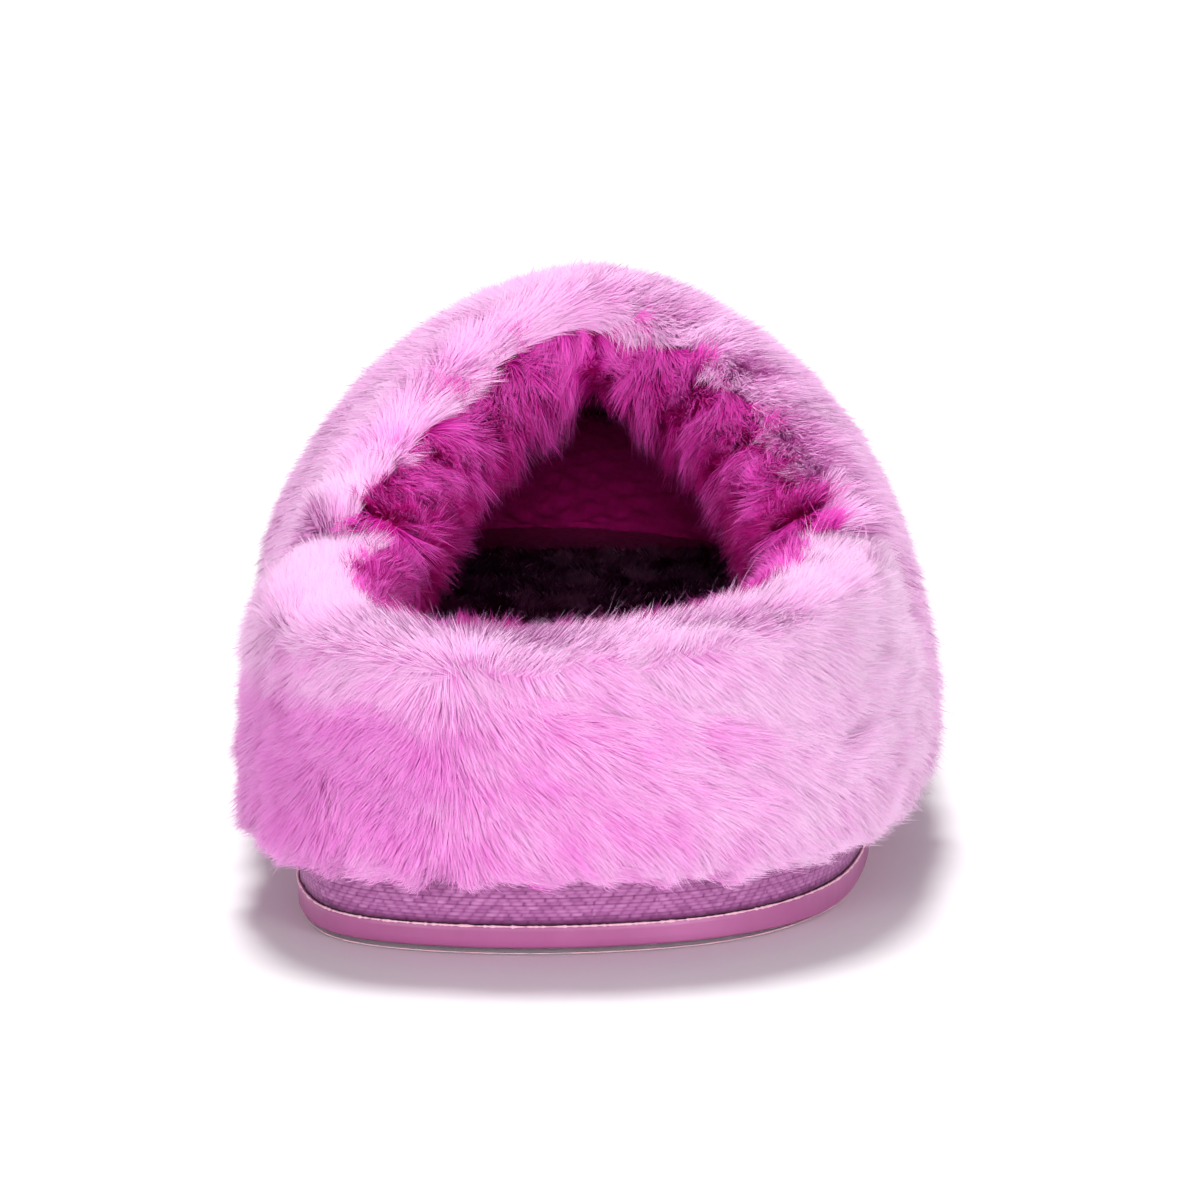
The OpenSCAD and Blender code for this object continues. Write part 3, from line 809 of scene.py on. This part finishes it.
def ring_sweep(name, section_rings):
    """Closed tube round the sole: an array of columns, points of the closed section, xyz."""
    columns, rows = section_rings.shape[:2]
    i, j = (x.ravel() for x in np.meshgrid(np.arange(columns), np.arange(rows), indexing="ij"))
    k, m = (i + 1) % columns, (j + 1) % rows
    quads = np.stack([i * rows + j, k * rows + j, k * rows + m, i * rows + m], axis=1)
    return new_object(name, placed(section_rings.reshape(-1, 3)), None, quads)


def even_turns(count):
    """Turns of the outline at even distances round the sole, the distance of each, and the girth."""
    fine = np.linspace(0, 2, 8001)
    step = np.linalg.norm(np.diff(outline(fine), axis=0), axis=1)
    far = np.concatenate([[0], np.cumsum(step)])
    wanted = np.linspace(0, far[-1], count, endpoint=False)
    return np.interp(wanted, far, fine), wanted, far[-1]


FLOAT_LENGTH = 1.7
FLOAT_HEIGHT = 0.52
CHEVRON = 9.0


def tape_material():
    material, tree, node = shader("woven_tape", 0.72, 0.25, (1.0, 0.8, 1.0), 0.4)
    uv = tree.nodes.new("ShaderNodeUVMap")
    uv.uv_map = "weave"
    split = tree.nodes.new("ShaderNodeSeparateXYZ")
    # The dark end of this ramp is painted shade, between the floats and along the tape's bottom edge
    # above the outsole.
    colours = ramp(tree, [(0.0, srgb(88, 24, 76)), (0.4, srgb(152, 84, 140)),
                          (1.0, srgb(196, 132, 184))])
    place = tree.nodes.new("ShaderNodeTexCoord")
    fibres = tree.nodes.new("ShaderNodeTexNoise")
    fibres.inputs["Scale"].default_value = 3500
    relief = tree.nodes.new("ShaderNodeBump")
    relief.inputs["Strength"].default_value = 0.35
    relief.inputs["Distance"].default_value = 0.00008
    link = tree.links.new
    link(uv.outputs["UV"], split.inputs[0])
    link(split.outputs["Y"], colours.inputs["Fac"])
    link(colours.outputs["Color"], node.inputs["Base Color"])
    link(place.outputs["Object"], fibres.inputs["Vector"])
    link(fibres.outputs["Fac"], relief.inputs["Height"])
    link(relief.outputs["Normal"], node.inputs["Normal"])
    return material


def cover_tape():
    """Band of coarse twill: floats in rows, each row stepped along from the one below."""
    turns, far, girth = even_turns(2100)
    rows = 33
    height = np.linspace(OUTSOLE_TOP + 0.15, TAPE_TOP, rows)
    row = (height - height[0]) / FLOAT_HEIGHT
    number = np.floor(row)
    side = np.where(np.floor(far / CHEVRON) % 2 == 0, 0.27, -0.27)[:, None]
    phase = far[:, None] / girth * round(girth / FLOAT_LENGTH) + side * number[None]
    place = np.stack([np.floor(phase), np.broadcast_to(number, phase.shape), 0 * phase], axis=-1)
    uneven = waves(place * 3.7, 2.1, 71)
    across = np.abs(np.sin(math.pi * row))[None] ** 0.45
    lumps = across * np.abs(np.sin(math.pi * phase)) ** 0.3
    out = -0.5 + (0.22 + 0.07 * uneven) * lumps
    outer = sole_points(np.repeat(turns[:, None], rows, axis=1), out, height[None])
    inner = sole_points(np.repeat(turns[:, None], 2, axis=1), np.full((len(turns), 2), -1.0),
                        height[[-1, 0]][None])
    rings = np.concatenate([outer, inner], axis=1)
    piece, mesh = ring_sweep("cover_tape_weave", rings)
    # Colour along the weave map. Darker between the floats is painted shade in the hollows of the
    # weave, and darker over the lowest 1.6 mm is painted shadow in the gap above the outsole. The step
    # from float to float is the yarn's own tone.
    shade = lumps * (0.72 + 0.2 * uneven) * smoothstep(height, OUTSOLE_TOP, OUTSOLE_TOP + 1.6)[None]
    painted_shade_and_tone = np.concatenate([shade, np.zeros((len(turns), 2))], axis=1).reshape(-1)
    add_uv(mesh, "weave", np.stack([np.zeros_like(painted_shade_and_tone), np.clip(painted_shade_and_tone, 0.01, 0.99)], axis=1))
    finish_piece(piece, tape_material(), "woven_tape", "cover_tape")


def outsole_material():
    material, tree, node = shader("outsole_rubber", 0.42, specular=0.5)
    place = tree.nodes.new("ShaderNodeTexCoord")
    cloud = tree.nodes.new("ShaderNodeTexNoise")
    cloud.inputs["Scale"].default_value = 60
    cloud.inputs["Detail"].default_value = 5
    colours = ramp(tree, [(0.3, srgb(158, 80, 132)), (0.7, srgb(176, 98, 150))])
    grain = tree.nodes.new("ShaderNodeTexNoise")
    grain.inputs["Scale"].default_value = 1800
    relief = tree.nodes.new("ShaderNodeBump")
    relief.inputs["Strength"].default_value = 0.12
    relief.inputs["Distance"].default_value = 0.0001
    link = tree.links.new
    link(place.outputs["Object"], cloud.inputs["Vector"])
    link(place.outputs["Object"], grain.inputs["Vector"])
    link(cloud.outputs["Fac"], colours.inputs["Fac"])
    link(colours.outputs["Color"], node.inputs["Base Color"])
    link(grain.outputs["Fac"], relief.inputs["Height"])
    link(relief.outputs["Normal"], node.inputs["Normal"])
    return material


TREAD_DEPTH = 1.2
TREAD_PITCH = 12.0
TREAD_WIDTH = 2.4
TREAD_MARGIN = 9.0
HEEL_LIFT = 0.9


def outsole_rim(material):
    """Trimmed edge of the outsole, a little uneven, and lifted off the floor at the heel."""
    turns, far, _ = even_turns(900)
    line = np.stack([far, far * 0, far * 0], axis=1)
    rough = 0.05 * waves(line, 2.2, 81) + 0.04 * waves(line, 0.9, 82)
    section = [(-9.5, 0.0), (-0.9, 0.0), (-0.35, 0.25), (-0.1, 0.75), (-0.02, 2.0), (0.0, 3.4),
               (0.06, 4.0), (-0.12, 4.2), (-0.5, 4.15), (-9.5, 4.1)]
    uneven = [0, 0, 0, 0.4, 0.3, 0.5, 1.0, 1.0, 0, 0]
    raised = [0, 1, 1, 0.8, 0.3, 0, 0, 0, 0, 0]
    lift = HEEL_LIFT * (1 - smoothstep(outline(turns)[:, 1], 0, 30))
    rings = np.stack([sole_points(turns, out + rough * share, height + lift * up)
                      for (out, height), share, up in zip(section, uneven, raised)], axis=1)
    piece, _ = ring_sweep("outsole_rim", rings)
    finish_piece(piece, material, "outsole_rubber", "outsole")


def outsole_tread(material):
    """Underside inside the rim, with grooves from side to side."""
    limit = edge(np.linspace(0, 2, 4001), np.full(4001, -TREAD_MARGIN))
    outer, inner = limit[:2001], limit[2000:][::-1]
    grooves = math.floor((SOLE_LENGTH - 2 * TREAD_MARGIN) / TREAD_PITCH)
    at = (SOLE_LENGTH - grooves * TREAD_PITCH) / 2
    low, high = limit[:, 1].min() + 0.05, limit[:, 1].max() - 0.05
    rows, depth = [low], [0.0]
    while at < high:
        for y, z in ((-1, 0), (-0.8, 1), (0.8, 1), (1, 0)):
            if low < at + y * TREAD_WIDTH / 2 < high:
                rows.append(at + y * TREAD_WIDTH / 2)
                depth.append(z * TREAD_DEPTH)
        at += TREAD_PITCH
    rows, depth = np.array(rows + [high]), np.array(depth + [0.0])
    right = np.interp(rows, outer[:, 1], outer[:, 0])
    left = np.interp(rows, inner[:, 1], inner[:, 0])
    across = np.linspace(0, 1, 24)[:, None]
    x = left + (right - left) * across
    y = np.broadcast_to(rows, x.shape)
    ends = np.minimum(np.minimum(across, 1 - across) / 0.06, 1)
    under = np.stack([x, y, depth * ends], axis=-1)
    over = np.stack([x, y, np.full(x.shape, OUTSOLE_TOP - 0.1)], axis=-1)
    piece, _ = shell("outsole_tread", placed(over), placed(under), True)
    finish_piece(piece, material, "outsole_rubber")


def outsole_burr(name, material, height, out, size, seed):
    """Thin uneven thread of trimmed rubber along an edge of the outsole."""
    turns, far, _ = even_turns(2400)
    line = np.stack([far, far * 0, far * 0], axis=1)
    specks = np.maximum(waves(line, 0.8, seed + 9), 0)
    thick = np.maximum(size * (0.75 + 0.35 * waves(line, 2.6, seed) + 0.5 * specks), 0.03)
    angles = np.linspace(0, 2 * math.pi, 6, endpoint=False)
    rings = np.stack([sole_points(turns, out + thick * math.cos(a), height + thick * math.sin(a) * 0.8)
                      for a in angles], axis=1)
    piece, _ = ring_sweep(name, rings)
    finish_piece(piece, material, "outsole_rubber")


def outsole():
    rubber = outsole_material()
    outsole_rim(rubber)
    outsole_tread(rubber)
    burr, _, node = shader("trimmed_burr", 0.8)
    node.inputs["Base Color"].default_value = (*srgb(236, 190, 206), 1)
    outsole_burr("outsole_burr_top", burr, height=4.15, out=-0.05, size=0.20, seed=83)
    outsole_burr("outsole_burr_low", burr, height=0.35, out=-0.32, size=0.09, seed=84)


# ---------------------------------------------------------------- light, floor and camera

FLOOR_HALF = 4
SUNS = (("high_back_light", 3.0, 0.3, (0.05, -0.36, -1.0)),
        ("left_front_light", 1.7, 0.5, (0.8, 1.0, -0.13)),
        ("right_front_light", 2.2, 0.5, (-0.8, 1.0, -0.13)),
        ("front_light", 0.5, 0.2, (0.0, 1.0, -0.18)))
CAMERA_PLACE = (0.0026, -0.741, 0.157)
CAMERA_TARGET = (0.0026, 0, 0.0263)
CAMERA_LENS = 139


def facing(direction):
    """Rotation that turns a light or camera to look along a direction."""
    return Vector(direction).to_track_quat("-Z", "Y").to_euler()


def floor():
    corners = np.array([[-1, -1, 0], [1, -1, 0], [1, 1, 0], [-1, 1, 0]]) * float(FLOOR_HALF)
    piece, _ = new_object("floor", corners, None, np.array([[0, 1, 2, 3]]), smooth=False)
    material, _, node = shader("floor_white", 0.9, specular=0.1)
    node.inputs["Base Color"].default_value = (0.93, 0.92, 0.925, 1)
    piece.data.materials.append(material)


def studio_world():
    """Soft light from above that fades towards the horizon."""
    world = bpy.data.worlds.new("studio_world")
    world.use_nodes = True
    tree = world.node_tree
    background = tree.nodes["Background"]
    place = tree.nodes.new("ShaderNodeTexCoord")
    split = tree.nodes.new("ShaderNodeSeparateXYZ")
    sky = ramp(tree, [(0.0, (0.10, 0.10, 0.10)), (0.35, (0.42, 0.42, 0.42)),
                      (1.0, (0.84, 0.835, 0.83))])
    tree.links.new(place.outputs["Generated"], split.inputs[0])
    tree.links.new(split.outputs["Z"], sky.inputs["Fac"])
    tree.links.new(sky.outputs["Color"], background.inputs["Color"])
    background.inputs["Strength"].default_value = 0.5
    return world


def studio():
    scene = bpy.context.scene
    floor()
    scene.world = studio_world()
    for name, energy, angle, direction in SUNS:
        sun = bpy.data.lights.new(name, "SUN")
        sun.energy = energy
        sun.angle = angle
        holder = bpy.data.objects.new(name, sun)
        holder.rotation_euler = facing(direction)
        scene.collection.objects.link(holder)
    camera = bpy.data.cameras.new("camera")
    camera.lens = CAMERA_LENS
    camera.sensor_width = 36
    camera.clip_end = 20
    holder = bpy.data.objects.new("camera", camera)
    holder.location = CAMERA_PLACE
    holder.rotation_euler = facing(Vector(CAMERA_TARGET) - Vector(CAMERA_PLACE))
    scene.collection.objects.link(holder)
    scene.camera = holder
    scene.view_settings.view_transform = "Standard"


studio()
outsole()
cover_tape()
kept_nodes()
inside_parts()
vamp_fur()
heel_fur()
lining_fur()
